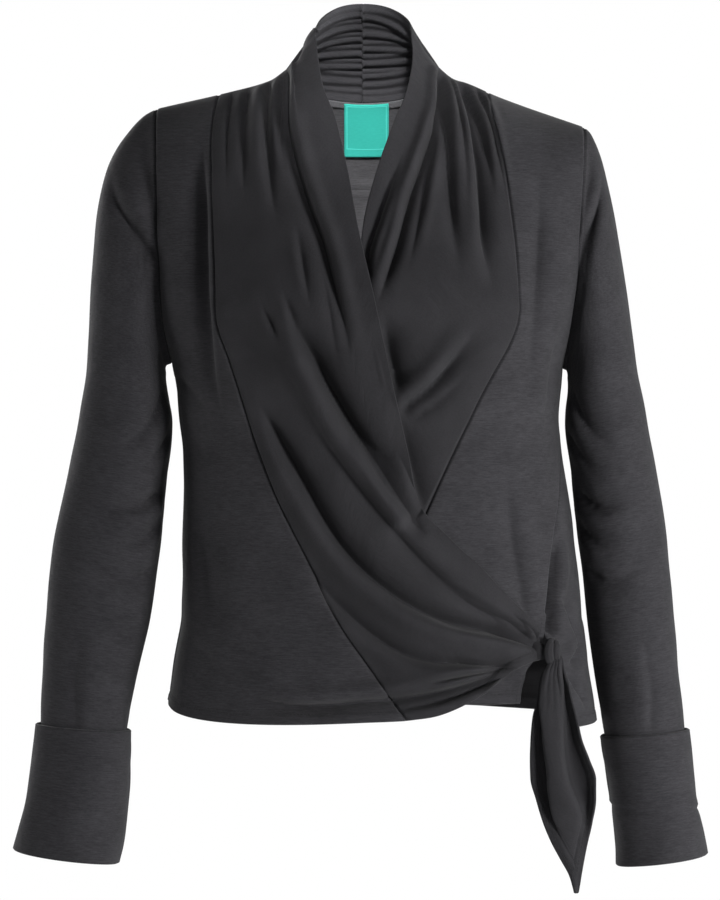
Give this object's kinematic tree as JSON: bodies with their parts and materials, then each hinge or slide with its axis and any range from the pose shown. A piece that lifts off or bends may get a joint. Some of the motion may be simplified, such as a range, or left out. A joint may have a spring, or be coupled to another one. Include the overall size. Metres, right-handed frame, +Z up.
{
  "type": "wrap jacket",
  "caption": "Long-sleeved wrap jacket in soft charcoal jersey, in its worn form, with a ruched shawl collar, draped fronts, a knotted side tie and turned-back cuffs.",
  "frame": {"origin": "on the wearer's centre line at the base of the neck, level with the shoulders, midway between the front and the back of the neck opening's lower part", "axes": "+Z up, -Y to the front of the jacket, +X to the wearer's left"},
  "size_m": [0.6119, 0.2397, 0.7795],
  "materials": {
    "heather_jersey": "matt brushed jersey with a soft sheen, fine charcoal heather streaked across",
    "smooth_jersey": "smooth matt jersey",
    "collar_jersey": "matt jersey, ruched on the centre back seam",
    "neck_tape": "matt woven tape",
    "neck_label": "plain satin-woven label"
  },
  "bodies": {
    "root": {"back": "heather_jersey", "back_yoke": "heather_jersey", "side_front_right": "heather_jersey", "side_front_left": "heather_jersey", "sleeve_right": "heather_jersey", "sleeve_left": "heather_jersey", "cuff_right": "heather_jersey", "cuff_left": "heather_jersey", "drape_front_right": "smooth_jersey", "drape_front_left": "smooth_jersey", "tie_knot": "smooth_jersey", "tie_tail": "smooth_jersey", "collar_right": "collar_jersey", "collar_left": "collar_jersey", "neck_tape": "neck_tape", "neck_label": "neck_label"}
  },
  "joints": []
}
